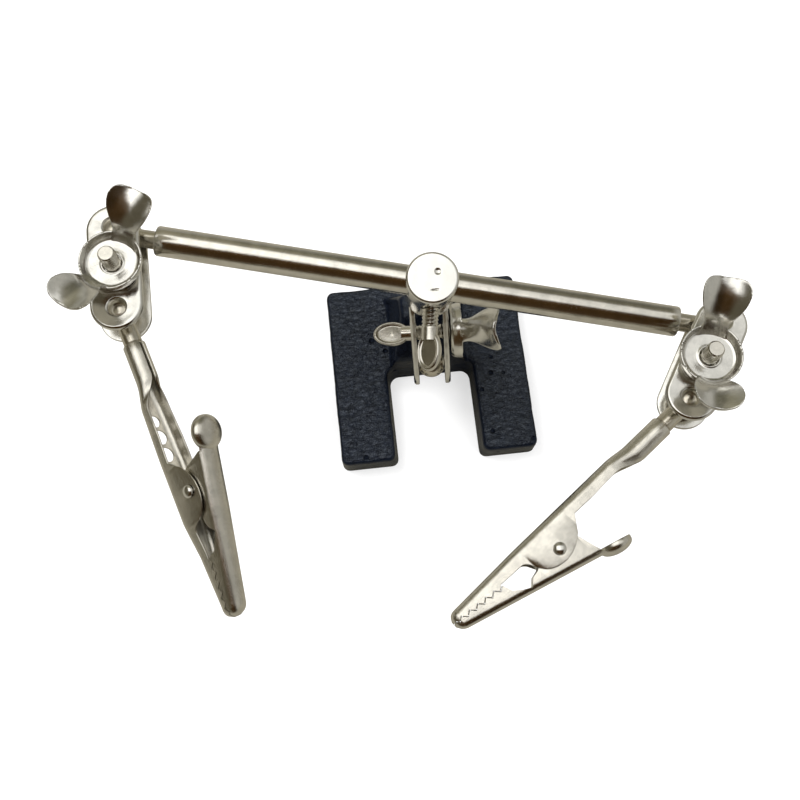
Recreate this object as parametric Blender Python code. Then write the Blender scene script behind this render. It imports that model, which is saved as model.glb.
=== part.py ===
"""Helping hands stand: a cast base, a ball-jointed column, a crossbar and two alligator clips.

Lengths are in millimetres and scaled by MM. X is to the right, Y to the rear and Z up.
The base stands on Z = 0 with its two legs pointing to the front.
"""

import math

import bmesh
import bpy
from mathutils import Matrix, Vector

MM = 0.001
GAP = 0.3  # clearance between pieces that touch

# cast base
BASE_W, BASE_D, BASE_H = 60.2, 57.0, 9.5
SLOT_HALF, SLOT_END_Y, SLOT_DRAFT = 12.6, 0.3, 1.0
BASE_CORNER, BASE_EDGE = 2.2, 0.9
TOWER_HALF, TOWER_TAPER, TOWER_TOP = 13.2, 0.34, 25.0
TOWER_LIP, TOWER_CREST_Y, TOWER_BACK_Y, TOWER_FOOT_Y = 14.4, 11.4, 18.5, 24.5

UNDERSIDE_CENTRE = Vector((0.0, 14.0, 0.0))  # moved to the origin when all is built

# ball studs
BALL_R, STUD_R, CLIP_SHAFT_R = 4.15, 2.4, 2.1
BASE_STUD_DIR = Vector((0.0, 0.72, -0.694))
BASE_STUD_LEN = 15.0

# clamp: two plates squeezed by a bolt and a wing nut
PLATE_W, PLATE_T, PLATE_GAP, BALL_PITCH, SOCKET_INSET = 13.7, 1.6, 7.6, 22.7, 0.8
SOCKET_R, BOLT_R, BOLT_HOLE_R = 2.3, 2.25, 2.6
BOLT_TIP = 12.8
HEAD_L, HEAD_W, HEAD_T = 10.6, 7.0, 2.4
CUP_R, CUP_H, WING_REACH, WING_RISE = 8.0, 3.4, 17.4, 11.8

# crossbar and collar
BAR_R, BAR_BORE_R, BAR_LEN, BAR_SHIFT = 4.0, 2.75, 138.9, -3.8
BAR_CENTRE = Vector((-0.4, 6.1, 61.1))
BAR_DIR = Vector((0.9663, -0.2538, -0.0434))
BAR_BALL_OUT = 10.6
COLLAR_R, COLLAR_TOP, COLLAR_BOTTOM, COLLAR_LEAN = 6.95, 6.5, 10.5, 8.85
COLLAR_BALL = 18.0
SCREW_REACH, SCREW_TURN = 12.8, 7.0

# column between the base ball and the collar ball
COLUMN_DIR = Vector((0.0, 0.565, 0.825))
COLUMN_NORMAL = Vector((1.0, -0.062, 0.048))

# clip, measured along its stem from the ball centre
BARREL_BORE = 2.4
BARREL_START, RIVET_U, RIVET_V, CLIP_TIP = 9.0, 50.7, 4.1, 82.4
SHEET = 0.5
SPINE_V = -3.5
BACK_V0, BACK_U0, BACK_SLOPE = 13.0, 42.3, -0.278
TOOTH_PITCH, TOOTH_HALF_H, TEETH_START, TEETH_END = 2.5, 0.6, 67.2, 80.9
TAB_R, TAB_U, TAB_V = 4.4, 39.4, 13.3
CLIP_DROOP = 4.0


def clear_scene():
    for obj in list(bpy.data.objects):
        bpy.data.objects.remove(obj, do_unlink=True)


def material(name, colour, roughness, metallic):
    mat = bpy.data.materials.new(name)
    mat.use_nodes = True
    shader = mat.node_tree.nodes["Principled BSDF"]
    shader.inputs["Base Color"].default_value = (*colour, 1.0)
    shader.inputs["Roughness"].default_value = roughness
    shader.inputs["Metallic"].default_value = metallic
    mat.diffuse_color = (*colour, 1.0)
    return mat


def finish(bm, name, look, parent=None, smooth=True):
    """Turn a bmesh drawn in millimetres into an object in metres with its own material."""
    bmesh.ops.remove_doubles(bm, verts=bm.verts, dist=1e-4)
    bmesh.ops.recalc_face_normals(bm, faces=bm.faces)
    bmesh.ops.scale(bm, vec=(MM, MM, MM), verts=bm.verts)
    mesh = bpy.data.meshes.new(name)
    bm.to_mesh(mesh)
    bm.free()
    obj = bpy.data.objects.new(name, mesh)
    bpy.context.scene.collection.objects.link(obj)
    obj.parent = parent
    if look is not None:
        mesh.materials.append(material(name + "_mat", *look))
    if smooth:
        mesh.shade_smooth()
        mesh.set_sharp_from_angle(angle=math.radians(32))
    return obj


def combine(obj, tool, operation):
    """Join or cut a piece with another one that is then thrown away."""
    mod = obj.modifiers.new(operation.lower(), "BOOLEAN")
    mod.operation = operation
    mod.solver = "EXACT"
    mod.object = tool
    tool.hide_render = True
    tool.display_type = "WIRE"
    bpy.context.view_layer.update()
    graph = bpy.context.evaluated_depsgraph_get()
    result = bpy.data.meshes.new_from_object(obj.evaluated_get(graph))
    old = obj.data
    obj.modifiers.clear()
    for index, mat in enumerate(old.materials):
        if index < len(result.materials):
            result.materials[index] = mat
    name = old.name
    obj.data = result
    bpy.data.meshes.remove(old)
    result.name = name
    bpy.data.objects.remove(tool, do_unlink=True)
    bm = bmesh.new()
    bm.from_mesh(result)
    bmesh.ops.remove_doubles(bm, verts=bm.verts, dist=1e-6)
    bmesh.ops.dissolve_degenerate(bm, edges=bm.edges, dist=1e-6)
    bmesh.ops.recalc_face_normals(bm, faces=bm.faces)
    for face in bm.faces:
        face.material_index = 0
    bm.to_mesh(result)
    bm.free()
    result.shade_smooth()
    result.set_sharp_from_angle(angle=math.radians(32))
    return obj


def frame(name, origin, x_dir, z_dir, parent=None):
    """An empty whose X is close to x_dir and whose Z is z_dir."""
    z = Vector(z_dir).normalized()
    x = Vector(x_dir)
    x = (x - z * x.dot(z)).normalized()
    y = z.cross(x)
    rotation = Matrix((x, y, z)).transposed()
    empty = bpy.data.objects.new(name, None)
    bpy.context.scene.collection.objects.link(empty)
    empty.empty_display_size = 0.004
    empty.parent = parent
    empty.location = Vector(origin) * MM
    empty.rotation_euler = rotation.to_euler()
    return empty


def spin_profile(profile, steps, axis="Z"):
    """Spin a closed (radius, height) outline about Z into a bmesh."""
    bm = bmesh.new()
    verts = [bm.verts.new((r, 0.0, z)) for r, z in profile]
    edges = [bm.edges.new((a, b)) for a, b in zip(verts, verts[1:] + verts[:1])]
    edges = [e for e in edges if max(abs(v.co.x) for v in e.verts) > 1e-6]
    bmesh.ops.spin(
        bm, geom=edges, cent=(0, 0, 0), axis=(0, 0, 1),
        angle=2 * math.pi, steps=steps, use_duplicate=False,
    )
    bmesh.ops.remove_doubles(bm, verts=bm.verts, dist=1e-4)
    loose = [e for e in bm.edges if not e.link_faces]
    bmesh.ops.delete(bm, geom=loose, context="EDGES")
    turn(bm, axis)
    return bm


def turn(bm, axis):
    """Lay a shape drawn along Z along another axis."""
    if axis == "X":
        bmesh.ops.rotate(bm, verts=bm.verts, matrix=Matrix.Rotation(math.pi / 2, 3, "Y"))
    elif axis == "-X":
        bmesh.ops.rotate(bm, verts=bm.verts, matrix=Matrix.Rotation(-math.pi / 2, 3, "Y"))
    elif axis == "Y":
        bmesh.ops.rotate(bm, verts=bm.verts, matrix=Matrix.Rotation(-math.pi / 2, 3, "X"))


def rod(radius, low, high, steps=24, axis="Z", centre=(0, 0, 0)):
    bm = spin_profile([(0, low), (radius, low), (radius, high), (0, high)], steps, axis)
    bmesh.ops.translate(bm, verts=bm.verts, vec=centre)
    return bm


def prism(loops):
    """Closed body from loops with equal point counts, capped at both ends."""
    bm = bmesh.new()
    rings = [[bm.verts.new(p) for p in loop] for loop in loops]
    for low, high in zip(rings, rings[1:]):
        for i in range(len(low)):
            j = (i + 1) % len(low)
            bm.faces.new((low[i], low[j], high[j], high[i]))
    bm.faces.new(list(reversed(rings[0])))
    bm.faces.new(rings[-1])
    return bm


def arc(cx, cy, radius, start, stop, count):
    angles = [math.radians(start + (stop - start) * i / count) for i in range(count + 1)]
    return [(cx + radius * math.cos(a), cy + radius * math.sin(a)) for a in angles]


def ball_profile(length, shank_r, step_at=None, step_r=None, rows=7):
    """Half outline of a ball at the origin with a shank along +Z, thinner beyond step_at."""
    meet = math.asin(shank_r / BALL_R)
    points = []
    for i in range(rows + 1):
        a = math.pi - (math.pi - meet) * i / rows
        points.append((BALL_R * math.sin(a), BALL_R * math.cos(a)))
    points[0] = (0.0, -BALL_R)
    if step_at is not None:
        points += [(shank_r, step_at), (step_r, step_at)]
        shank_r = step_r
    points += [(shank_r, length - 0.5), (shank_r - 0.5, length), (0.0, length)]
    return points


# ---------------------------------------------------------------- base

def slot_outline(grow):
    """The U-shaped outline of the casting, counter-clockwise; grow widens the slot."""
    w, front, back = BASE_W / 2, -BASE_D / 2, BASE_D / 2
    r, inner, end = BASE_CORNER, SLOT_HALF + grow, SLOT_END_Y + grow
    points = arc(w - r, back - r, r, 0, 90, 4) + arc(-w + r, back - r, r, 90, 180, 4)
    points += arc(-w + r, front + r, r, 180, 270, 4)
    points += arc(-inner - r, front + r, r, 270, 360, 4)
    points += arc(-inner + 3.0, end - 3.0, 3.0, 180, 90, 4)
    points += arc(inner - 3.0, end - 3.0, 3.0, 90, 0, 4)
    points += arc(inner + r, front + r, r, 180, 270, 4)
    points += arc(w - r, front + r, r, 270, 360, 4)
    return points


def inset_loop(points, amount):
    """Move every point of a counter-clockwise loop inward by the same amount."""
    moved = []
    count = len(points)
    for i, (x, y) in enumerate(points):
        before = Vector(points[i - 1])
        after = Vector(points[(i + 1) % count])
        along = (after - before).normalized()
        moved.append((x - along.y * amount, y + along.x * amount))
    return moved


def build_base(ball):
    edge = BASE_EDGE
    bottom, top = slot_outline(0.0), slot_outline(SLOT_DRAFT)
    shoulder = [
        tuple(Vector(a).lerp(Vector(b), 1 - edge / BASE_H)) for a, b in zip(bottom, top)
    ]
    loops = [
        [(x, y, 0.0) for x, y in inset_loop(bottom, 0.35)],
        [(x, y, 0.4) for x, y in bottom],
        [(x, y, BASE_H - edge) for x, y in shoulder],
        [(x, y, BASE_H - 0.27 * edge) for x, y in inset_loop(top, 0.27 * edge)],
        [(x, y, BASE_H) for x, y in inset_loop(top, edge)],
    ]
    base = finish(prism(loops), "base_casting", ((0.02, 0.022, 0.026), 0.55, 0.1))
    side = [
        (SLOT_END_Y + 0.05, 0.5), (SLOT_END_Y + 0.9, TOWER_LIP), (TOWER_CREST_Y, TOWER_TOP),
        (TOWER_BACK_Y, TOWER_TOP), (TOWER_FOOT_Y, BASE_H - 1.0), (TOWER_FOOT_Y, 0.5),
    ]

    def half(z):
        return TOWER_HALF - max(0.0, z - BASE_H + 1.0) * TOWER_TAPER

    tower = prism([[(s * half(z), y, z) for y, z in side] for s in (1, -1)])
    bmesh.ops.recalc_face_normals(tower, faces=tower.faces)
    sharp = [e for e in tower.edges if min(v.co.z for v in e.verts) > BASE_H - 2.0]
    bmesh.ops.bevel(tower, geom=sharp, offset=1.3, segments=2, affect="EDGES", profile=0.5)
    combine(base, finish(tower, "tower", None), "UNION")
    hole = rod(STUD_R + GAP, 7.5, BASE_STUD_LEN + 0.5, 20)
    turn_to = BASE_STUD_DIR.to_track_quat("Z", "Y").to_matrix()
    bmesh.ops.rotate(hole, verts=hole.verts, matrix=turn_to)
    bmesh.ops.translate(hole, verts=hole.verts, vec=ball)
    combine(base, finish(hole, "hole", None), "DIFFERENCE")
    return base


# ---------------------------------------------------------------- clamp

def stadium(half_width, half_length, count=6):
    reach = half_length - half_width
    points = arc(0, reach, half_width, 0, 180, count)
    return points + arc(0, -reach, half_width, 180, 360, count)


def build_plate(name, look, parent, low, high):
    """A round-ended plate with a bolt hole and two ball sockets."""
    half_length = BALL_PITCH / 2 + PLATE_W / 2 - SOCKET_INSET
    outline = stadium(PLATE_W / 2, half_length)
    small = stadium(PLATE_W / 2 - 0.25, half_length - 0.25)
    loops = [
        [(x, y, low) for x, y in small], [(x, y, low + 0.25) for x, y in outline],
        [(x, y, high - 0.25) for x, y in outline], [(x, y, high) for x, y in small],
    ]
    plate = finish(prism(loops), name, look, parent)
    for radius, y in ((SOCKET_R, BALL_PITCH / 2), (BOLT_HOLE_R, 0.0), (SOCKET_R, -BALL_PITCH / 2)):
        tool = finish(rod(radius, low - 1, high + 1, 16, centre=(0, y, 0)), "hole", None, parent)
        combine(plate, tool, "DIFFERENCE")
    return plate


def spade_head():
    """Oval thumb head along +Z from the origin, flat to Y, with a raised rim."""
    count = 16
    half_l, half_w, half_t = HEAD_L / 2, HEAD_W / 2, HEAD_T / 2

    def oval(scale_l, scale_w, y):
        turns = [2 * math.pi * i / count for i in range(count)]
        return [
            (half_w * scale_w * math.cos(t), y, half_l + half_l * scale_l * math.sin(t))
            for t in turns
        ]

    loops = [
        oval(0.64, 0.52, -0.45 * half_t), oval(0.80, 0.72, -half_t), oval(0.90, 0.86, -half_t),
        oval(1, 1, -0.45 * half_t), oval(1, 1, 0.45 * half_t), oval(0.90, 0.86, half_t),
        oval(0.80, 0.72, half_t), oval(0.64, 0.52, 0.45 * half_t),
    ]
    return prism(loops)


def build_spade_screw(name, look, parent, low, high, spin=0.0):
    """A screw along +Z from low to high with its oval head below low."""
    tip = [(0, low - 2.6), (BOLT_R, low - 2.6), (BOLT_R, high - 0.7), (BOLT_R - 0.5, high), (0, high)]
    screw = finish(spin_profile(tip, 16), name, look, parent)
    head = spade_head()
    bmesh.ops.rotate(head, verts=head.verts, matrix=Matrix.Rotation(math.pi, 3, "X"))
    bmesh.ops.translate(head, verts=head.verts, vec=(0, 0, low))
    bmesh.ops.rotate(head, verts=head.verts, matrix=Matrix.Rotation(spin, 3, "Z"))
    return combine(screw, finish(head, "head", None, parent), "UNION")


def wing(side):
    """One stamped wing, a shallow channel that climbs outward from the cup wall."""
    path = [
        (CUP_R - 1.0, 1.7, 3.5), (CUP_R - 0.2, 3.6, 3.2), (8.6, 5.5, 3.3), (9.7, 7.3, 4.2),
        (11.4, 9.0, 5.4), (13.3, 10.3, 5.9), (15.6, 11.4, 5.2), (WING_REACH, WING_RISE, 3.2),
    ]
    loops = []
    for i, (r, z, half) in enumerate(path):
        before, after = path[max(i - 1, 0)], path[min(i + 1, len(path) - 1)]
        along = Vector((after[0] - before[0], after[1] - before[1])).normalized()
        out = Vector((along.y, -along.x))
        ring = []
        for face in (0.55, -0.55):
            steps = range(7) if face > 0 else range(6, -1, -1)
            for k in steps:
                t = -1 + 2 * k / 6
                lift = face - 1.5 * t * t * half / 5.5
                ring.append((side * (r + out.x * lift), side * t * half, z + out.y * lift))
        loops.append(ring)
    return prism(loops)


def build_wing_nut(name, look, parent, face, turned):
    """A stamped wing nut whose cup stands just above the height face."""
    outline = [
        (BOLT_R + GAP, 0), (CUP_R - 1.4, 0), (CUP_R - 0.5, 0.5), (CUP_R - 0.2, 1.4), (CUP_R, CUP_H),
        (CUP_R - 1.0, CUP_H), (CUP_R - 1.3, 1.9), (CUP_R - 2.1, 1.2), (4.3, 1.1), (3.6, 2.0),
        (BOLT_R + GAP, 2.0),
    ]
    nut = finish(spin_profile(outline, 24), name, look, parent)
    for side in (1, -1):
        combine(nut, finish(wing(side), "wing", None, parent), "UNION")
    nut.location = (0, 0, (face + GAP) * MM)
    nut.rotation_euler = (0, 0, turned)
    return nut


def build_clamp(prefix, parent, turned, look, nut_look):
    """Front and rear plates, spade bolt and wing nut around the frame's Z axis."""
    inner, outer = PLATE_GAP / 2, PLATE_GAP / 2 + PLATE_T
    front = build_plate(prefix + "_front_plate", look, parent, inner, outer)
    rear = build_plate(prefix + "_rear_plate", look, parent, -outer, -inner)
    bolt = build_spade_screw(prefix + "_bolt", nut_look, parent, -outer - GAP, BOLT_TIP, 0.7)
    nut = build_wing_nut(prefix + "_wing_nut", nut_look, parent, outer, turned)
    return front, rear, bolt, nut


# ---------------------------------------------------------------- clip

def zigzag(u):
    """Height of the tooth line at a place along the clip."""
    middle = 1.15 - 0.11 * (u - TEETH_START)
    phase = ((u - TEETH_START) / TOOTH_PITCH) % 1.0
    return middle + TOOTH_HALF_H * (1 - 4 * abs(phase - 0.5))


def channel_path(half, front, back):
    """Middle line of a U section as (v, z) points from one lip round the back to the other."""
    sign = 1.0 if front > back else -1.0
    half -= SHEET / 2
    back += sign * SHEET / 2
    r = min(1.9, half * 0.8, max(0.35, abs(front - back) - 0.15))
    bend = [math.radians(a) for a in (0, 45, 90)]
    right = [(back + sign * (r - r * math.sin(a)), half - r + r * math.cos(a)) for a in bend]
    left = [(v, -z) for v, z in reversed(right)]
    return [(front, half)] + right + [(back, 0.0)] + left + [(front, -half)]


def barrel_path(radius, count):
    """Middle line of a rolled barrel with its seam at the open side."""
    angles = [math.radians(166 - 332 * i / (count - 1)) for i in range(count)]
    return [(-radius * math.cos(a), radius * math.sin(a)) for a in angles]


def section_ring(path, u):
    """Give a middle line its sheet thickness and place it at u along the clip."""
    outer, inner = [], []
    for i, (v, z) in enumerate(path):
        before, after = path[max(i - 1, 0)], path[min(i + 1, len(path) - 1)]
        along = Vector((after[0] - before[0], after[1] - before[1])).normalized()
        side = Vector((along.y, -along.x)) * (SHEET / 2)
        outer.append((u, v + side.x, z + side.y))
        inner.append((u, v - side.x, z - side.y))
    return outer + list(reversed(inner))


def blend(a, b, share):
    return a + (b - a) * share


def fixed_half_width(u):
    if u < 57:
        return 4.1
    if u < 66:
        return blend(4.1, 2.95, (u - 57) / 9)
    return blend(2.95, 2.5, min(1, (u - 66) / 15))


def moving_half_width(u):
    return 3.2 if u < 57 else blend(3.2, 2.5, min(1, (u - 57) / 24))


def back_line(u):
    return BACK_V0 + BACK_SLOPE * (u - BACK_U0)


def tooth_stations():
    count = int(round((TEETH_END - TEETH_START) / TOOTH_PITCH * 2))
    return [TEETH_START + i * TOOTH_PITCH / 2 for i in range(count + 1)]


def build_fixed_jaw(name, look, parent):
    """The jaw whose tail is rolled into a barrel over the stem."""
    lips = [
        (27.5, 0.5), (35, 0.5), (41.8, 0.45), (43.1, 2.3), (44.6, 4.4), (47.3, 6.3), (51.3, 7.3),
        (54.3, 6.8), (56.7, 5.3), (57.9, 3.6), (58.9, 1.7), (60.2, 0.7), (63.3, 0.6), (65.9, 0.5),
    ]
    lips += [(u, zigzag(u) - 0.2) for u in tooth_stations()]
    lips += [(81.3, -0.9), (CLIP_TIP, -1.4)]
    rings = []
    for u in (BARREL_START, 14.0, 18.5):
        rings.append(section_ring(barrel_path(BARREL_BORE + SHEET / 2, 9), u))
    for u, share in ((20.5, 0.2), (22.5, 0.5), (24.5, 0.8)):
        rolled = barrel_path(BARREL_BORE + SHEET / 2, 9)
        flat = channel_path(3.6, 1.2, SPINE_V)
        mixed = [(blend(a[0], b[0], share), blend(a[1], b[1], share)) for a, b in zip(rolled, flat)]
        rings.append(section_ring(mixed, u))
    for u, lip in lips:
        nose = max(0.0, u - 79.5)
        half = min(3.6 + max(0.0, u - 27.5) * 0.04, 4.1) if u < 57 else fixed_half_width(u)
        half -= 0.22 * nose
        rings.append(section_ring(channel_path(half, lip, SPINE_V + 0.16 * nose * nose), u))
    jaw = finish(prism(rings), name, look, parent)
    hole = rod(1.3, -6, 6, 16, centre=(RIVET_U, RIVET_V, 0))
    combine(jaw, finish(hole, "hole", None, parent), "DIFFERENCE")
    for u in (31.5, 36.5):
        hole = rod(1.15, -3, 3, 14, "Y", (u, SPINE_V, 0))
        combine(jaw, finish(hole, "hole", None, parent), "DIFFERENCE")
    return jaw


def build_moving_jaw(name, look, parent):
    """The jaw with the thumb tab; drawn about the rivet so that it turns there."""
    lips = [
        (43.3, 10.9), (44.0, 8.8), (44.9, 5.4), (46.1, 2.7), (48.1, 1.1), (50.5, 0.7), (53.3, 1.2),
        (55.9, 2.6), (58.3, 4.1), (60.2, 4.5), (62.1, 6.2), (64.2, 5.0), (66.2, 3.4),
    ]
    lips += [(u, zigzag(u) + 0.2) for u in tooth_stations()]
    lips += [(81.4, -0.2), (CLIP_TIP, -0.3)]
    rings = []
    for u, lip in lips:
        nose = max(0.0, u - 79.5)
        half = moving_half_width(u) - 0.22 * nose
        rings.append(section_ring(channel_path(half, lip, back_line(u) - 0.12 * nose * nose), u))
    jaw = finish(prism(rings), name, look, parent)
    dome = [(0, 1.5), (2.0, 1.25), (3.5, 0.35), (TAB_R, -0.9), (TAB_R - 0.5, -1.2), (3.1, -0.2)]
    dome += [(1.8, 0.6), (0, 0.85)]
    cap = spin_profile(dome, 18, "Y")
    lean = math.atan(-BACK_SLOPE)
    bmesh.ops.rotate(cap, verts=cap.verts, matrix=Matrix.Rotation(-lean, 3, "Z"))
    bmesh.ops.translate(cap, verts=cap.verts, vec=(TAB_U, TAB_V, 0))
    neck_l = [(z, v) for v, z in ((0, 2.2), (0.55, 2.2), (0.55, -2.2), (0, -2.2))]
    neck = prism([
        [(u, back_line(u) + v - 0.6, z * w) for z, v in neck_l]
        for u, w in ((40.4, 0.95), (42.0, 1.0), (44.9, 1.15))
    ])
    combine(jaw, finish(neck, "neck", None, parent), "UNION")
    combine(jaw, finish(cap, "cap", None, parent), "UNION")
    hole = rod(1.3, -6, 6, 16, centre=(RIVET_U, RIVET_V, 0))
    combine(jaw, finish(hole, "hole", None, parent), "DIFFERENCE")
    return jaw


def build_rivet(name, look, parent):
    half = 4.1 + GAP
    outline = [
        (0, -half - 0.95), (0.9, -half - 0.8), (1.55, -half - 0.3), (1.65, -half), (1.0, -half),
        (1.0, half), (1.65, half), (1.55, half + 0.3), (0.9, half + 0.8), (0, half + 0.95),
    ]
    bm = spin_profile(outline, 16)
    bmesh.ops.translate(bm, verts=bm.verts, vec=(RIVET_U, RIVET_V, 0))
    return finish(bm, name, look, parent)


def build_spring(name, look, parent):
    """A torsion spring around the rivet with one short leg toward each jaw."""
    wire, coil, turns, per_turn, sides = 0.3, 1.8, 3, 10, 5
    points = [Vector((-6.2, -4.9, -1.9)), Vector((-3.2, -3.3, -1.9))]
    start = math.radians(-110)
    total = turns * per_turn + 4
    for i in range(total + 1):
        a = start + 2 * math.pi * i / per_turn
        z = -1.9 + 3.8 * i / total
        points.append(Vector((coil * math.cos(a), coil * math.sin(a), z)))
    end = start + 2 * math.pi * total / per_turn
    leave = Vector((-math.sin(end), math.cos(end), 0))
    points.append(points[-1] + leave * 2.6)
    rings = []
    up = Vector((0, 0, 1))
    for i, p in enumerate(points):
        along = (points[min(i + 1, len(points) - 1)] - points[max(i - 1, 0)]).normalized()
        side = along.cross(up).normalized()
        top = side.cross(along)
        ring = []
        for k in range(sides):
            a = 2 * math.pi * k / sides
            ring.append(p + side * (wire * math.cos(a)) + top * (wire * math.sin(a)))
        rings.append([q + Vector((RIVET_U, RIVET_V, 0)) for q in ring])
    return finish(prism(rings), name, look, parent)


# ---------------------------------------------------------------- assembly

STEEL = ((0.62, 0.60, 0.55), 0.28, 1.0)
BRIGHT = ((0.74, 0.73, 0.70), 0.2, 1.0)
PLATED = ((0.66, 0.64, 0.58), 0.24, 1.0)
SPRING_STEEL = ((0.35, 0.34, 0.32), 0.4, 1.0)


def build_stud(name, look, parent, length, axis, step_at=None):
    profile = ball_profile(length, STUD_R, step_at, CLIP_SHAFT_R)
    return finish(spin_profile(profile, 18, axis), name, look, parent)


def build_arm(prefix, side, bar, clamp_head, clip_head, spin, nut_turn):
    """The stud, clamp and clip at one end of the crossbar. side is -1 or 1."""
    end = BAR_SHIFT + side * BAR_LEN / 2
    centre = end + side * BAR_BALL_OUT
    stud_frame = frame(prefix + "_bar_stud_frame", (centre, 0, 0), (1, 0, 0), (0, 0, 1), bar)
    axis = "X" if side < 0 else "-X"
    build_stud(prefix + "_bar_stud", STEEL, stud_frame, BAR_BALL_OUT + 8.0, axis)

    ball = bar.matrix_basis @ Vector((centre * MM, 0, 0)) / MM
    heading = math.radians(clamp_head)
    down = Vector((math.cos(heading), math.sin(heading), 0))
    middle = ball + down * BALL_PITCH / 2
    x_dir = down.cross(Vector((0, 0, 1))) * -1
    clamp = frame(prefix + "_clamp_frame", middle, x_dir, (0, 0, 1))
    build_clamp(prefix + "_clamp", clamp, nut_turn, PLATED, BRIGHT)

    low_ball = ball + down * BALL_PITCH
    heading, droop = math.radians(clip_head), math.radians(CLIP_DROOP)
    along = Vector((math.cos(heading), math.sin(heading), 0)) * math.cos(droop)
    along.z = -math.sin(droop)
    level = along.cross(Vector((0, 0, 1))).normalized()
    flat = along.cross(level).normalized() * -1
    normal = Matrix.Rotation(math.radians(spin), 3, along) @ flat
    clip = frame(prefix + "_clip_frame", low_ball, along, normal)
    build_stud(prefix + "_clip_stem", STEEL, clip, 19.0, "X", BARREL_START - GAP)
    build_fixed_jaw(prefix + "_fixed_jaw", PLATED, clip)
    build_moving_jaw(prefix + "_moving_jaw", PLATED, clip)
    build_rivet(prefix + "_rivet", STEEL, clip)
    build_spring(prefix + "_spring", SPRING_STEEL, clip)


def build():
    clear_scene()
    bar_dir = BAR_DIR.normalized()
    upright = (Vector((0, 0, 1)) - bar_dir * bar_dir.z).normalized()
    lean = Matrix.Rotation(math.radians(COLLAR_LEAN), 3, bar_dir)
    collar_up = lean @ upright
    top_ball = BAR_CENTRE - collar_up * COLLAR_BALL
    column = COLUMN_DIR.normalized()
    base_ball = top_ball - column * BALL_PITCH

    build_base(base_ball)
    stud = frame("base_stud_frame", base_ball, (1, 0, 0), BASE_STUD_DIR)
    build_stud("base_ball_stud", STEEL, stud, BASE_STUD_LEN, "Z")

    collar = frame("collar_frame", BAR_CENTRE, bar_dir, collar_up)
    profile = [
        (0, COLLAR_TOP), (COLLAR_R - 0.6, COLLAR_TOP), (COLLAR_R, COLLAR_TOP - 0.6),
        (COLLAR_R, -COLLAR_BOTTOM + 0.8), (COLLAR_R - 0.8, -COLLAR_BOTTOM), (0, -COLLAR_BOTTOM),
    ]
    body = finish(spin_profile(profile, 32), "collar", BRIGHT, collar)
    tools = [
        rod(BAR_R + GAP, -12, 12, 24, "X"),
        rod(STUD_R + GAP, -COLLAR_BOTTOM - 2, -BAR_R - 0.9, 20),
        rod(BOLT_R + GAP, -12, -1.0, 20, "Y"),
    ]
    aim = Matrix.Rotation(math.radians(SCREW_TURN), 3, "Z")
    bmesh.ops.rotate(tools[2], verts=tools[2].verts, matrix=aim)
    for tool in tools:
        combine(body, finish(tool, "hole", None, collar), "DIFFERENCE")

    stem = frame("collar_stem_frame", top_ball, bar_dir, collar_up)
    build_stud("collar_ball_stem", STEEL, stem, COLLAR_BALL - BAR_R - 1.3, "Z")

    turned = Matrix.Rotation(math.radians(SCREW_TURN), 3, collar_up)
    screw_dir = turned @ collar_up.cross(bar_dir).normalized()
    screw = frame("collar_screw_frame", BAR_CENTRE, collar_up, screw_dir)
    build_spade_screw("collar_thumb_screw", BRIGHT, screw, -SCREW_REACH, -BAR_R - GAP, -2.2)

    bar = frame("crossbar_frame", BAR_CENTRE, bar_dir, collar_up)
    low, high = BAR_SHIFT - BAR_LEN / 2, BAR_SHIFT + BAR_LEN / 2
    wall = [
        (BAR_BORE_R, low), (BAR_R - 0.5, low), (BAR_R, low + 0.5), (BAR_R, high - 0.5),
        (BAR_R - 0.5, high), (BAR_BORE_R, high),
    ]
    finish(spin_profile(wall, 24, "X"), "crossbar", STEEL, bar)

    clamp = frame("column_frame", (top_ball + base_ball) / 2, column.cross(COLUMN_NORMAL), COLUMN_NORMAL)
    build_clamp("column_clamp", clamp, -0.6, PLATED, BRIGHT)

    build_arm("left", -1, bar, -88.5, -72.8, 42.0, 0.96)
    build_arm("right", 1, bar, -121.8, -143.2, 0.0, 1.85)
    for obj in bpy.data.objects:
        if obj.parent is None:
            obj.location -= UNDERSIDE_CENTRE * MM


build()
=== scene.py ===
"""Looks for the helping hands stand: nickel-plated pressings, threads, a pitted black casting.

Shapes are drawn in millimetres in each piece's own frame, then placed by a matrix in metres.
"""

import math

import bmesh
import bpy
from mathutils import Matrix, Vector, noise


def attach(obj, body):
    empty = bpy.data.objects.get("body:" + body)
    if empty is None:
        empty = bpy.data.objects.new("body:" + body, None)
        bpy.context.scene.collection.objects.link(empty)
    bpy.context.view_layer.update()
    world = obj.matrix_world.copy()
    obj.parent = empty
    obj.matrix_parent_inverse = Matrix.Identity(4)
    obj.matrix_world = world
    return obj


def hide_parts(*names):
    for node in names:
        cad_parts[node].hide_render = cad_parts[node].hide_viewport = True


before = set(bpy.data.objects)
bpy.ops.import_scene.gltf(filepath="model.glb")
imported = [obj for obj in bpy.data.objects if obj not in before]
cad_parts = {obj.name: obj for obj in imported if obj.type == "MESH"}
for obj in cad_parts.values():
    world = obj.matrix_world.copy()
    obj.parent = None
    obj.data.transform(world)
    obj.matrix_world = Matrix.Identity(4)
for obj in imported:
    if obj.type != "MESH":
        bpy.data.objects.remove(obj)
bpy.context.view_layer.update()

MM = 0.001
GAP = 0.3
FINE = 1e-4

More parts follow.
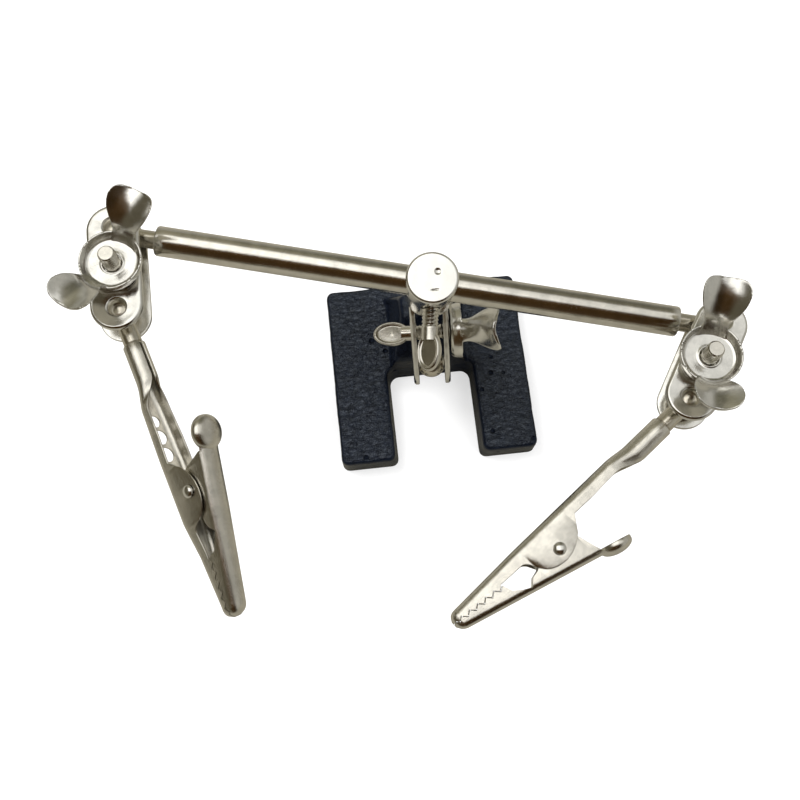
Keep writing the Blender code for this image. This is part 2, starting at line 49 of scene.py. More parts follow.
# cast base
BASE_W, BASE_D, BASE_H = 60.2, 57.0, 9.5
SLOT_HALF, SLOT_END_Y, SLOT_DRAFT = 12.6, 0.3, 1.0
BASE_CORNER, BASE_EDGE = 2.2, 1.25
SLOT_CORNER = 3.0
SKIN_VOXEL, LUMP_HEIGHT, PIMPLE_HEIGHT = 0.42, 0.16, 0.05
TOWER_HALF, TOWER_TAPER, TOWER_TOP = 13.2, 0.34, 25.0
TOWER_LIP, TOWER_CREST_Y, TOWER_BACK_Y, TOWER_FOOT_Y = 14.4, 11.4, 18.5, 24.5
UNDERSIDE_CENTRE = Vector((0.0, 14.0, 0.0))

# ball studs
BALL_R, STUD_R, CLIP_SHAFT_R = 4.15, 2.4, 2.1
BASE_STUD_DIR = Vector((0.0, 0.72, -0.694))
BASE_STUD_LEN = 15.0

# clamp
PLATE_W, PLATE_T, PLATE_GAP, BALL_PITCH, SOCKET_INSET = 13.7, 1.6, 7.6, 22.7, 0.8
SOCKET_R, BOLT_R, BOLT_HOLE_R = 2.3, 2.25, 2.6
BOLT_TIP = 12.8
HEAD_L, HEAD_W, HEAD_T = 10.6, 7.0, 2.4
CUP_R, CUP_H, WING_REACH, WING_RISE = 8.0, 3.4, 17.4, 11.8
THREAD_PITCH, THREAD_DEPTH = 1.0, 0.34

# crossbar and collar
BAR_R, BAR_BORE_R, BAR_LEN, BAR_SHIFT = 4.0, 2.75, 138.9, -3.8
BAR_CENTRE = Vector((-0.4, 6.1, 61.1))
BAR_DIR = Vector((0.9663, -0.2538, -0.0434))
BAR_BALL_OUT = 10.6
COLLAR_R, COLLAR_TOP, COLLAR_BOTTOM, COLLAR_LEAN = 6.95, 6.5, 10.5, 8.85
COLLAR_BALL = 18.0
SCREW_REACH, SCREW_TURN = 12.8, 7.0
COLUMN_DIR = Vector((0.0, 0.565, 0.825))
COLUMN_NORMAL = Vector((1.0, -0.062, 0.048))

# clip
BARREL_BORE = 2.4
BARREL_START, RIVET_U, RIVET_V, CLIP_TIP = 9.0, 50.7, 4.1, 82.4
SHEET = 0.5
CROWN_H, CROWN_POWER = 2.1, 0.72
TOOTH_GAP, TOOTH_SKEW = 0.14, 0.55
SPINE_V = -3.5
BACK_V0, BACK_U0, BACK_SLOPE = 13.0, 42.3, -0.278
TOOTH_PITCH, TOOTH_HALF_H, TEETH_START, TEETH_END = 2.5, 0.6, 67.2, 80.9
RIVET_HOLE_R = 1.3
NOSE_LENGTH = 2.3
TAB_R, TAB_U, TAB_V, TAB_DOME = 4.4, 39.4, 13.0, 2.3
CLIP_DROOP = 4.0

# camera, in degrees, lens millimetres and metres
CAMERA_AZIMUTH, CAMERA_ELEVATION, CAMERA_LENS = -6.22, 73.6, 44.145
CAMERA_PLACE = Vector((-0.01971, -0.10895, 0.30067))


# ---------------------------------------------------------------- materials

def node_tree(name):
    mat = bpy.data.materials.new(name)
    mat.use_nodes = True
    return mat, mat.node_tree, mat.node_tree.nodes["Principled BSDF"]


def texture(tree, kind, scale, stretch=(1, 1, 1), **values):
    """A 3D texture in the piece's own coordinates; scale is in features per metre."""
    where = tree.nodes.new("ShaderNodeTexCoord")
    mapping = tree.nodes.new("ShaderNodeMapping")
    mapping.inputs["Scale"].default_value = stretch
    tex = tree.nodes.new(kind)
    tex.inputs["Scale"].default_value = scale
    for key, value in values.items():
        tex.inputs[key].default_value = value
    tree.links.new(where.outputs["Object"], mapping.inputs["Vector"])
    tree.links.new(mapping.outputs["Vector"], tex.inputs["Vector"])
    return tex


def ramp(tree, source, stops):
    """Colours against a value, as (position, colour) stops."""
    node = tree.nodes.new("ShaderNodeValToRGB")
    band = node.color_ramp
    while len(band.elements) < len(stops):
        band.elements.new(0.5)
    for element, (position, colour) in zip(band.elements, stops):
        element.position = position
        element.color = (*colour, 1.0)
    tree.links.new(source, node.inputs["Fac"])
    return node.outputs["Color"]


def spread(tree, source, low, high):
    """A value moved from 0..1 into low..high."""
    node = tree.nodes.new("ShaderNodeMapRange")
    node.inputs["To Min"].default_value = low
    node.inputs["To Max"].default_value = high
    tree.links.new(source, node.inputs["Value"])
    return node.outputs["Result"]


def lighter(tree, first, second):
    """The brighter of two masks at each point."""
    node = tree.nodes.new("ShaderNodeMixRGB")
    node.blend_type = "LIGHTEN"
    node.inputs["Fac"].default_value = 1.0
    tree.links.new(first, node.inputs["Color1"])
    tree.links.new(second, node.inputs["Color2"])
    return node.outputs["Color"]


def bump(tree, height, distance, below=None):
    """A normal bent by a height of so many metres, over the normal below it."""
    node = tree.nodes.new("ShaderNodeBump")
    node.inputs["Distance"].default_value = distance
    tree.links.new(height, node.inputs["Height"])
    if below is not None:
        tree.links.new(below, node.inputs["Normal"])
    return node.outputs["Normal"]


def nickel(name, colour, rough, stretch=(1, 1, 1), grain=0.5, wave=1.0, dark=0.82):
    """Plated steel with a slow ripple, fine grain or brushing and slightly uneven tarnish."""
    mat, tree, shader = node_tree(name)
    shader.inputs["Metallic"].default_value = 1.0
    patches = texture(tree, "ShaderNodeTexNoise", 260, Detail=3.0, Roughness=0.6)
    deep = tuple(c * dark for c in colour)
    tint = ramp(tree, patches.outputs["Fac"], [(0.32, deep), (0.62, colour)])
    tree.links.new(tint, shader.inputs["Base Color"])
    fine = texture(tree, "ShaderNodeTexNoise", 2600, stretch, Detail=4.0, Roughness=0.65)
    tree.links.new(spread(tree, fine.outputs["Fac"], rough * 0.7, rough * 1.35), shader.inputs["Roughness"])
    slow = texture(tree, "ShaderNodeTexNoise", 170, Detail=1.0)
    first = bump(tree, slow.outputs["Fac"], 0.00016 * wave)
    tree.links.new(bump(tree, fine.outputs["Fac"], 0.000012 * grain, first), shader.inputs["Normal"])
    return mat


def cast_black(name):
    """Black paint over a sand casting: wrinkled and pitted on top, smoother down the sides; its reflection
    strength is a painted sheen, stronger on upward faces, and painted shade inside the pits.
    """
    mat, tree, shader = node_tree(name)
    shader.inputs["Specular Tint"].default_value = (0.78, 0.87, 1.0, 1.0)
    tone = texture(tree, "ShaderNodeTexNoise", 500, Detail=4.0, Roughness=0.7)
    tint = ramp(tree, tone.outputs["Fac"], [(0.3, (0.002, 0.003, 0.006)), (0.7, (0.007, 0.010, 0.018))])
    tree.links.new(tint, shader.inputs["Base Color"])
    tree.links.new(spread(tree, tone.outputs["Fac"], 0.15, 0.3), shader.inputs["Roughness"])
    wrinkle = texture(tree, "ShaderNodeTexNoise", 620, (0.75, 1.25, 1), Detail=3.0, Distortion=0.8)
    pits = texture(tree, "ShaderNodeTexVoronoi", 210)
    holes = ramp(tree, pits.outputs["Distance"], [(0.10, (0, 0, 0)), (0.2, (1, 1, 1))])
    sound = ramp(tree, pits.outputs["Color"], [(0.38, (0, 0, 0)), (0.4, (1, 1, 1))])
    pit_height = lighter(tree, holes, sound)
    fine = texture(tree, "ShaderNodeTexNoise", 2400, Detail=2.0)
    facing = tree.nodes.new("ShaderNodeNewGeometry")
    split = tree.nodes.new("ShaderNodeSeparateXYZ")
    tree.links.new(facing.outputs["Normal"], split.inputs["Vector"])
    upward = tree.nodes.new("ShaderNodeMapRange")
    upward.inputs["From Min"].default_value = 0.85
    upward.inputs["From Max"].default_value = 0.99
    upward.inputs["To Min"].default_value = 0.14
    tree.links.new(split.outputs["Z"], upward.inputs["Value"])
    rough_top = bump(tree, wrinkle.outputs["Fac"], 0.0011)
    tree.links.new(upward.outputs["Result"], rough_top.node.inputs["Strength"])
    pitted = bump(tree, pit_height, 0.0008, rough_top)
    tree.links.new(upward.outputs["Result"], pitted.node.inputs["Strength"])
    tree.links.new(bump(tree, fine.outputs["Fac"], 0.00003, pitted), shader.inputs["Normal"])
    # Painted sheen and shade: reflection strength raised on upward faces and lowered inside the pits, so
    # tops read lit and pits read shaded.
    painted_sheen_and_shade = tree.nodes.new("ShaderNodeMath")
    painted_sheen_and_shade.operation = "MULTIPLY"
    tree.links.new(spread(tree, upward.outputs["Result"], 0.2, 0.75), painted_sheen_and_shade.inputs[0])
    tree.links.new(spread(tree, pit_height, 0.15, 1.0), painted_sheen_and_shade.inputs[1])
    tree.links.new(painted_sheen_and_shade.outputs[0], shader.inputs["Specular IOR Level"])
    return mat


WARM = (0.80, 0.775, 0.715)
PALE = (0.85, 0.84, 0.805)
BRASSY = (0.72, 0.68, 0.59)
DULL = (0.50, 0.48, 0.44)


# ---------------------------------------------------------------- mesh tools

def place(bm, name, matrix, mat, body=None, node=None, angle=32):
    """Turn a bmesh drawn in millimetres into a piece at its place in the stand."""
    bmesh.ops.remove_doubles(bm, verts=bm.verts, dist=FINE)
    bmesh.ops.recalc_face_normals(bm, faces=bm.faces)
    if bm.calc_volume(signed=True) < 0:
        bmesh.ops.reverse_faces(bm, faces=bm.faces)
    bmesh.ops.scale(bm, vec=(MM, MM, MM), verts=bm.verts)
    mesh = bpy.data.meshes.new(name)
    bm.to_mesh(mesh)
    bm.free()
    mesh.shade_smooth()
    mesh.set_sharp_from_angle(angle=math.radians(angle))
    if mat is not None:
        mesh.materials.append(mat)
    obj = bpy.data.objects.new(name, mesh)
    bpy.context.scene.collection.objects.link(obj)
    obj.matrix_world = matrix
    if body is not None:
        settle(obj, body, node)
    return obj


def settle(obj, body, node):
    """The piece moves with a body and is shown instead of the plain solid."""
    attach(obj, body)
    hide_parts(node)


def bake(obj, angle=32):
    """Apply the piece's modifiers."""
    bpy.context.view_layer.update()
    graph = bpy.context.evaluated_depsgraph_get()
    result = bpy.data.meshes.new_from_object(obj.evaluated_get(graph))
    mats = list(obj.data.materials)
    obj.modifiers.clear()
    obj.data = result
    result.materials.clear()
    for mat in mats:
        result.materials.append(mat)
    for face in result.polygons:
        face.material_index = 0
    result.shade_smooth()
    result.set_sharp_from_angle(angle=math.radians(angle))


def combine(obj, bm, operation, angle=32, folded=False):
    """Join or cut a piece with a bmesh drawn in the same frame, worked at millimetre size.

    folded allows for sheet whose own walls meet.
    """
    home = obj.matrix_world.copy()
    tool = place(bm, "tool", Matrix.Identity(4), None)
    obj.matrix_world = Matrix.Identity(4)
    for mesh in (obj.data, tool.data):
        mesh.transform(Matrix.Scale(1 / MM, 4))
    mod = obj.modifiers.new("combine", "BOOLEAN")
    mod.operation = operation
    mod.solver = "EXACT"
    mod.use_self = folded
    mod.object = tool
    bake(obj, angle)
    obj.data.transform(Matrix.Scale(MM, 4))
    obj.matrix_world = home
    bpy.data.objects.remove(tool, do_unlink=True)


def fuse(obj, voxel, rounds=2, angle=60):
    """Melt joined shapes into one skin with softened edges."""
    remesh = obj.modifiers.new("skin", "REMESH")
    remesh.mode = "VOXEL"
    remesh.voxel_size = voxel * MM
    smooth = obj.modifiers.new("soften", "SMOOTH")
    smooth.factor = 0.5
    smooth.iterations = rounds
    bake(obj, angle)


def place_frame(origin, x_dir, z_dir):
    """Matrix in metres of a frame whose X is close to x_dir and whose Z is z_dir."""
    z = Vector(z_dir).normalized()
    x = Vector(x_dir)
    x = (x - z * x.dot(z)).normalized()
    matrix = Matrix((x, z.cross(x), z)).transposed().to_4x4()
    matrix.translation = (Vector(origin) - UNDERSIDE_CENTRE) * MM
    return matrix


def spin_profile(profile, steps, axis="Z"):
    """Spin a closed (radius, height) outline about Z into a bmesh."""
    bm = bmesh.new()
    verts = [bm.verts.new((r, 0.0, z)) for r, z in profile]
    edges = [bm.edges.new((a, b)) for a, b in zip(verts, verts[1:] + verts[:1])]
    edges = [e for e in edges if max(abs(v.co.x) for v in e.verts) > 1e-6]
    bmesh.ops.spin(
        bm, geom=edges, cent=(0, 0, 0), axis=(0, 0, 1),
        angle=2 * math.pi, steps=steps, use_duplicate=False,
    )
    bmesh.ops.remove_doubles(bm, verts=bm.verts, dist=FINE)
    loose = [e for e in bm.edges if not e.link_faces]
    bmesh.ops.delete(bm, geom=loose, context="EDGES")
    turn(bm, axis)
    return bm


def turn(bm, axis):
    """Lay a shape drawn along Z along another axis."""
    if axis == "X":
        bmesh.ops.rotate(bm, verts=bm.verts, matrix=Matrix.Rotation(math.pi / 2, 3, "Y"))
    elif axis == "-X":
        bmesh.ops.rotate(bm, verts=bm.verts, matrix=Matrix.Rotation(-math.pi / 2, 3, "Y"))
    elif axis == "Y":
        bmesh.ops.rotate(bm, verts=bm.verts, matrix=Matrix.Rotation(-math.pi / 2, 3, "X"))


def rod(radius, low, high, steps=48, axis="Z", centre=(0, 0, 0)):
    """A plain round bar along an axis."""
    bm = spin_profile([(0, low), (radius, low), (radius, high), (0, high)], steps, axis)
    bmesh.ops.translate(bm, verts=bm.verts, vec=centre)
    return bm


def prism(loops, bm=None):
    """Closed body from loops with equal point counts, capped at both ends."""
    bm = bm or bmesh.new()
    rings = [[bm.verts.new(p) for p in loop] for loop in loops]
    for low, high in zip(rings, rings[1:]):
        for i in range(len(low)):
            j = (i + 1) % len(low)
            bm.faces.new((low[i], low[j], high[j], high[i]))
    bm.faces.new(list(reversed(rings[0])))
    bm.faces.new(rings[-1])
    return bm


def arc(cx, cy, radius, start, stop, count):
    """Points on a circle from start to stop, in degrees."""
    angles = [math.radians(start + (stop - start) * i / count) for i in range(count + 1)]
    return [(cx + radius * math.cos(a), cy + radius * math.sin(a)) for a in angles]


def mix(a, b, share):
    """A value part of the way from a to b."""
    return a + (b - a) * share


def smooth_path(points, steps):
    """Pass a smooth curve through stations of any number of values each."""
    result = []
    last = len(points) - 1
    for i in range(last):
        p0, p1 = points[max(i - 1, 0)], points[i]
        p2, p3 = points[i + 1], points[min(i + 2, last)]
        for k in range(steps):
            t = k / steps
            result.append(tuple(
                0.5 * (2 * b + (c - a) * t + (2 * a - 5 * b + 4 * c - d) * t * t
                       + (3 * b - a - 3 * c + d) * t ** 3)
                for a, b, c, d in zip(p0, p1, p2, p3)
            ))
    result.append(tuple(points[-1]))
    return result


def inset_loop(points, amount):
    """Move every point of a counter-clockwise loop inward by the same amount."""
    moved = []
    count = len(points)
    for i, (x, y) in enumerate(points):
        along = (Vector(points[(i + 1) % count]) - Vector(points[i - 1])).normalized()
        moved.append((x - along.y * amount, y + along.x * amount))
    return moved


# ---------------------------------------------------------------- base

def slot_outline(grow, fine=8):
    """The U-shaped outline of the casting, counter-clockwise; grow widens the slot."""
    w, front, back = BASE_W / 2, -BASE_D / 2, BASE_D / 2
    r, inner, end = BASE_CORNER, SLOT_HALF + grow, SLOT_END_Y + grow
    points = arc(w - r, back - r, r, 0, 90, fine) + arc(-w + r, back - r, r, 90, 180, fine)
    points += arc(-w + r, front + r, r, 180, 270, fine)
    points += arc(-inner - r, front + r, r, 270, 360, fine)
    points += arc(-inner + SLOT_CORNER, end - SLOT_CORNER, SLOT_CORNER, 180, 90, fine)
    points += arc(inner - SLOT_CORNER, end - SLOT_CORNER, SLOT_CORNER, 90, 0, fine)
    points += arc(inner + r, front + r, r, 180, 270, fine)
    points += arc(w - r, front + r, r, 270, 360, fine)
    return points


def build_base(ball):
    """The casting as one skin, with soft inside corners and an uneven surface."""
    bottom, top = slot_outline(0.0), slot_outline(SLOT_DRAFT)
    loops = [[(x, y, 0.0) for x, y in inset_loop(bottom, 0.5)], [(x, y, 0.5) for x, y in bottom]]
    for i in range(7):
        a = math.pi / 2 * i / 6
        level = BASE_H - BASE_EDGE + BASE_EDGE * math.sin(a)
        drawn = [tuple(Vector(p).lerp(Vector(q), level / BASE_H)) for p, q in zip(bottom, top)]
        loops.append([(x, y, level) for x, y in inset_loop(drawn, BASE_EDGE * (1 - math.cos(a)))])
    identity = place_frame((0, 0, 0), (1, 0, 0), (0, 0, 1))
    base = place(prism(loops), "base_skin", identity, cast_black("base_paint"))
    side = [
        (SLOT_END_Y + 0.35, 0.5), (SLOT_END_Y + 0.9, TOWER_LIP), (TOWER_CREST_Y, TOWER_TOP),
        (TOWER_BACK_Y, TOWER_TOP), (TOWER_FOOT_Y, BASE_H - 1.0), (TOWER_FOOT_Y, 0.5),
    ]

    def half(z):
        return TOWER_HALF - max(0.0, z - BASE_H + 1.0) * TOWER_TAPER

    tower = prism([[(s * half(z), y, z) for y, z in side] for s in (1, -1)])
    bmesh.ops.recalc_face_normals(tower, faces=tower.faces)
    sharp = [e for e in tower.edges if min(v.co.z for v in e.verts) > BASE_H - 2.0]
    bmesh.ops.bevel(tower, geom=sharp, offset=1.6, segments=5, affect="EDGES", profile=0.5)
    combine(base, tower, "UNION")
    hole = rod(STUD_R + GAP, 7.5, BASE_STUD_LEN + 0.5, 40)
    aim = BASE_STUD_DIR.to_track_quat("Z", "Y").to_matrix()
    bmesh.ops.rotate(hole, verts=hole.verts, matrix=aim)
    bmesh.ops.translate(hole, verts=hole.verts, vec=ball)
    combine(base, hole, "DIFFERENCE", 45)
    fuse(base, SKIN_VOXEL, rounds=4)
    for vert in base.data.vertices:
        if vert.co.z > 1.2 * MM:
            lump = noise.noise(vert.co * 190) * LUMP_HEIGHT + noise.noise(vert.co * 620) * PIMPLE_HEIGHT
            vert.co += vert.normal * lump * MM * min(1.0, (vert.co.z / MM - 1.2) / 2)
        elif vert.co.z < 0.25 * MM:
            vert.co.z = 0.0
    settle(base, "base", "base_casting")


# ---------------------------------------------------------------- turned pieces

def build_stud(name, matrix, body, node, length, axis, step_at=None):
    """A ball on a shank, with a turned flat on the ball and a chamfered end."""
    meet = math.asin(STUD_R / BALL_R)
    flat = 0.2
    points = [(0.0, -BALL_R * math.cos(flat))]
    for i in range(25):
        a = math.pi - flat - (math.pi - flat - meet) * i / 24
        points.append((BALL_R * math.sin(a), BALL_R * math.cos(a)))
    waist = points[-1][1]
    shank = STUD_R
    points.append((shank - 0.12, waist + 0.35))
    points.append((shank, waist + 0.8))
    if step_at is not None:
        points += [(shank, step_at - 0.15), (shank - 0.15, step_at), (CLIP_SHAFT_R, step_at)]
        shank = CLIP_SHAFT_R
    points += [(shank, length - 0.5), (shank - 0.5, length), (0.0, length)]
    mat = nickel(name + "_plate", BRASSY, 0.2, (1, 1, 6), grain=1.5, wave=0.4)
    return place(spin_profile(points, 56, axis), name, matrix, mat, body, node, 40)


def thread_loops(radius, low, high, around=40):
    """Rings of a screw thread from low to high, with a chamfered far end."""
    rows = int((high - low) / THREAD_PITCH * 8)
    loops = []
    for i in range(rows + 1):
        z = mix(low, high, i / rows)
        fade = min(1.0, (z - low) / 0.8)
        limit = radius - max(0.0, 0.45 - (high - z))
        loop = []
        for k in range(around):
            turned = k / around
            phase = (z / THREAD_PITCH - turned) % 1.0
            groove = THREAD_DEPTH * (1 - abs(2 * phase - 1)) ** 0.8
            r = min(limit, radius - groove * fade)
            a = 2 * math.pi * turned
            loop.append((r * math.cos(a), r * math.sin(a), z))
        loops.append(loop)
    return loops


def spade_head(around=56):
    """Oval thumb head along +Z from the origin, flat to Y, with a raised rim and a sunk web."""
    half_l, half_w, half_t = HEAD_L / 2, HEAD_W / 2, HEAD_T / 2
    section = [
        (0.0, -0.34), (0.6, -0.34), (0.74, -0.37), (0.81, -0.55), (0.87, -0.8), (0.93, -0.8),
        (0.98, -0.55), (1.0, -0.22), (1.0, 0.22), (0.98, 0.55), (0.93, 0.8), (0.87, 0.8),
        (0.81, 0.55), (0.74, 0.37), (0.6, 0.34), (0.0, 0.34),
    ]
    loops = []
    for scale, y in smooth_path(section, 3):
        scale = max(scale, 0.04)
        narrow = max(0.03, scale - (1 - scale) * 0.25)
        turns = [2 * math.pi * i / around for i in range(around)]
        loops.append([
            (half_w * narrow * math.cos(t), y * half_t, half_l * (1 + scale * math.sin(t)))
            for t in turns
        ])
    return prism(loops)


def build_spade_screw(name, matrix, body, node, low, high, spin):
    """A threaded screw along +Z from low to high with its oval head below low."""
    mat = nickel(name + "_plate", WARM, 0.2, grain=1.2, wave=0.6)
    shank = [[(x, y, low - 2.6) for x, y in arc(0, 0, BOLT_R * 0.96, 0, 351, 39)]]
    shank += [[(x, y, low + 0.4) for x, y in arc(0, 0, BOLT_R * 0.98, 0, 351, 39)]]
    screw = place(prism(shank + thread_loops(BOLT_R, low + 0.6, high)), name, matrix, mat, angle=34)
    head = spade_head()
    bmesh.ops.rotate(head, verts=head.verts, matrix=Matrix.Rotation(math.pi, 3, "X"))
    bmesh.ops.translate(head, verts=head.verts, vec=(0, 0, low))
    bmesh.ops.rotate(head, verts=head.verts, matrix=Matrix.Rotation(spin, 3, "Z"))
    combine(screw, head, "UNION", 34)
    settle(screw, body, node)
    return screw


# ---------------------------------------------------------------- clamp

def stadium(half_width, half_length, count=24):
    """An outline with two straight sides and round ends, long along Y."""
    reach = half_length - half_width
    points = arc(0, reach, half_width, 0, 180, count)
    return points + arc(0, -reach, half_width, 180, 360, count)


def build_plate(name, matrix, body, node, low, high):
    """A pressed plate: round edge on the outside face, dished sockets and a bolt hole."""
    outward = 1 if high > 0 else -1
    half_length = BALL_PITCH / 2 + PLATE_W / 2 - SOCKET_INSET
    inner_z, outer_z = (low, high) if outward > 0 else (high, low)
    loops = []
    for inset, rise in ((0.4, 0.0), (0.18, 0.08), (0.1, 0.3)):
        outline = stadium(PLATE_W / 2 - inset, half_length - inset)
        loops.append([(x, y, inner_z + outward * rise) for x, y in outline])
    fillet = 0.85
    for i in range(7):
        a = math.pi / 2 * i / 6
        inset = 0.1 + fillet * (1 - math.cos(a))
        outline = stadium(PLATE_W / 2 - inset, half_length - inset)
        level = outer_z - outward * fillet * (1 - math.sin(a))
        loops.append([(x, y, level) for x, y in outline])
    outline = stadium(PLATE_W / 2 - 1.7, half_length - 1.7)
    loops.append([(x, y, outer_z - outward * 0.06) for x, y in outline])
    outline = stadium(PLATE_W / 2 - 3.2, half_length - 3.2)
    loops.append([(x, y, outer_z - outward * 0.16) for x, y in outline])
    mat = nickel(name + "_plate", PALE, 0.15, (1, 5, 1), grain=0.8, wave=1.6)
    plate = place(prism(loops), name, matrix, mat, angle=50)
    dish = []
    for radius, depth in ((SOCKET_R, 3.0), (SOCKET_R, 0.55), (SOCKET_R + 0.12, 0.35),
                          (SOCKET_R + 0.4, 0.17), (SOCKET_R + 0.8, 0.1), (SOCKET_R + 0.8, -2.0)):
        dish.append((radius, outer_z - outward * depth))
    profile = [(0, dish[0][1])] + dish + [(0, dish[-1][1])]
    for y in (BALL_PITCH / 2, -BALL_PITCH / 2):
        cutter = spin_profile(profile, 48)
        bmesh.ops.translate(cutter, verts=cutter.verts, vec=(0, y, 0))
        combine(plate, cutter, "DIFFERENCE", 50)
    combine(plate, rod(BOLT_HOLE_R, low - 1, high + 1), "DIFFERENCE", 50)
    settle(plate, body, node)
    return plate


WING_PATH = [
    (CUP_R - 1.5, 0.9, 3.6, 0.8), (CUP_R - 0.9, 2.0, 3.5, 0.85), (CUP_R - 0.35, 3.4, 3.25, 0.9),
    (8.2, 4.8, 3.15, 1.0), (8.9, 6.2, 3.5, 1.2), (10.0, 7.7, 4.4, 1.6), (11.5, 9.1, 5.4, 2.1),
    (13.3, 10.3, 5.95, 2.4), (15.0, 11.1, 5.85, 2.3), (16.2, 11.5, 5.1, 1.9),
    (17.0, 11.7, 3.9, 1.2), (WING_REACH, WING_RISE, 2.2, 0.6),
]


def wing(side, rise):
    """One pressed wing: a channel open to the bolt that flares upward into a round lobe."""
    bent = [(r, CUP_H + (z - CUP_H) * rise if z > CUP_H else z, *rest) for r, z, *rest in WING_PATH]
    path = smooth_path(bent, 4)
    across = 20
    thick = 0.45
    loops = []
    for i, (r, z, half, sag) in enumerate(path):
        before, after = path[max(i - 1, 0)], path[min(i + 1, len(path) - 1)]
        along = Vector((after[0] - before[0], after[1] - before[1])).normalized()
        out = Vector((along.y, -along.x))
        ring = []
        for face in (thick, -thick):
            order = range(across + 1) if face > 0 else range(across, -1, -1)
            for k in order:
                t = -1 + 2 * k / across
                lift = face * (1 - 0.3 * t ** 8) - sag * t * t
                ring.append((side * (r + out.x * lift), side * t * half, z + out.y * lift))
        loops.append(ring)
    return prism(loops)


def nick_rim(nut):
    """Small dents along the thin upper edge of the cup, as a press leaves them."""
    for vert in nut.data.vertices:
        place_at = vert.co / MM
        reach = math.hypot(place_at.x, place_at.y)
        if abs(reach - CUP_R + 0.4) < 0.7 and 2.7 < place_at.z < CUP_H + 0.4:
            turned = math.atan2(place_at.y, place_at.x)
            notch = noise.noise(Vector((math.cos(turned) * 9, math.sin(turned) * 9, 4.0)))
            if notch > 0.12:
                vert.co.z -= min(0.28, (notch - 0.12) * 1.6) * MM * (place_at.z - 2.7)


def build_wing_nut(name, matrix, body, node, face, turned, rise):
    """A pressed wing nut: thin-walled cup, coned floor, raised thread ring and two wings."""
    outline = [
        (BOLT_R + GAP, 0), (CUP_R - 1.8, 0), (CUP_R - 0.9, 0.25), (CUP_R - 0.35, 0.9),
        (CUP_R - 0.12, 2.0), (CUP_R, CUP_H), (CUP_R - 0.12, CUP_H + 0.12), (CUP_R - 0.55, CUP_H),
        (CUP_R - 0.66, 2.4), (CUP_R - 0.9, 1.6), (CUP_R - 1.35, 1.15), (CUP_R - 2.0, 1.0),
        (4.2, 1.0), (3.2, 1.06), (2.9, 1.22), (BOLT_R + GAP, 1.28),
    ]
    mat = nickel(name + "_plate", PALE, 0.17, grain=1.2, wave=1.4)
    spun = Matrix.Rotation(turned, 4, "Z")
    lifted = matrix @ Matrix.Translation((0, 0, (face + GAP) * MM)) @ spun
    nut = place(spin_profile(outline, 96), name, lifted, mat)
    for side in (1, -1):
        combine(nut, wing(side, rise), "UNION")
    fuse(nut, 0.17, rounds=2)
    nick_rim(nut)
    settle(nut, body, node)
    return nut


def build_clamp(prefix, matrix, body, nut_body, turned, rise=1.0):
    """Front and rear plates, spade bolt and wing nut around the frame's Z axis."""
    inner, outer = PLATE_GAP / 2, PLATE_GAP / 2 + PLATE_T
    for side, low, high in (("front", inner, outer), ("rear", -outer, -inner)):
        node = f"{prefix}_{side}_plate"
        build_plate(node + "_pressing", matrix, body, node, low, high)
    bolt = prefix + "_bolt"
    build_spade_screw(bolt + "_thread", matrix, body, bolt, -outer - GAP, BOLT_TIP, 0.7)
    nut = prefix + "_wing_nut"
    build_wing_nut(nut + "_pressing", matrix, nut_body, nut, outer, turned, rise)


# ---------------------------------------------------------------- clip

def zigzag(u):
    """Height of the tooth line at a place along the clip."""
    middle = 1.15 - 0.11 * (u - TEETH_START)
    phase = ((u - TEETH_START) / TOOTH_PITCH) % 1.0
    return middle + TOOTH_HALF_H * (1 - 4 * abs(phase - 0.5))


def channel_path(half, front, back, bends=8):
    """Middle line of a U section as (v, z) points from one lip round the back to the other."""
    sign = 1.0 if front > back else -1.0
    half -= SHEET / 2
    back += sign * SHEET / 2
    depth = abs(front - back)
    r = min(1.9, half * 0.8, max(0.35, depth - 0.15))
    bend = [math.radians(90 * i / bends) for i in range(bends + 1)]
    right = [(back + sign * (r - r * math.sin(a)), half - r + r * math.cos(a)) for a in bend]
    left = [(v, -z) for v, z in reversed(right)]
    return [(front, half)] + right + [(back, 0.0)] + left + [(front, -half)]


def crowned_path(half, lip, back, count=13):
    """Middle line of a section with straight walls and a crowned back, from lip to lip."""
    reach, foot = half - SHEET / 2, back - SHEET / 2 - CROWN_H
    over = max(0.0, (lip - foot) / CROWN_H)
    start = math.asin(min(0.95, over ** (1 / CROWN_POWER)))
    side = []
    for i in range(count + 1):
        a = mix(start, math.pi / 2, i / count)
        rise, across = math.sin(a) ** CROWN_POWER, math.cos(a) ** CROWN_POWER
        side.append((foot + CROWN_H * rise, reach * across))
    side[0] = (lip, side[0][1])
    return side + [(v, -z) for v, z in reversed(side[:-1])]


def barrel_path(radius, count):
    """Middle line of a rolled barrel with its seam at the open side."""
    angles = [math.radians(170 - 340 * i / (count - 1)) for i in range(count)]
    return [(-radius * math.cos(a), radius * math.sin(a)) for a in angles]


def section_ring(path, u):
    """Give a middle line its sheet thickness and place it at u along the clip."""
    outer, inner = [], []
    first = Vector(path[0]).lerp(Vector(path[1]), 0.05)
    last = Vector(path[-1]).lerp(Vector(path[-2]), 0.05)
    path = [path[0], tuple(first)] + path[1:-1] + [tuple(last), path[-1]]
    for i, (v, z) in enumerate(path):
        before, after = path[max(i - 1, 0)], path[min(i + 1, len(path) - 1)]
        along = Vector((after[0] - before[0], after[1] - before[1])).normalized()
        side = Vector((along.y, -along.x)) * (SHEET / 2)
        if i in (0, len(path) - 1):
            side *= 0.55
        outer.append((u, v + side.x, z + side.y))
        inner.append((u, v - side.x, z - side.y))
    return outer + list(reversed(inner))


def lookup(table, u):
    """Straight-line value from (place, value) pairs."""
    for (a, low), (b, high) in zip(table, table[1:]):
        if u <= b:
            return mix(low, high, max(0.0, (u - a) / (b - a)))
    return table[-1][1]


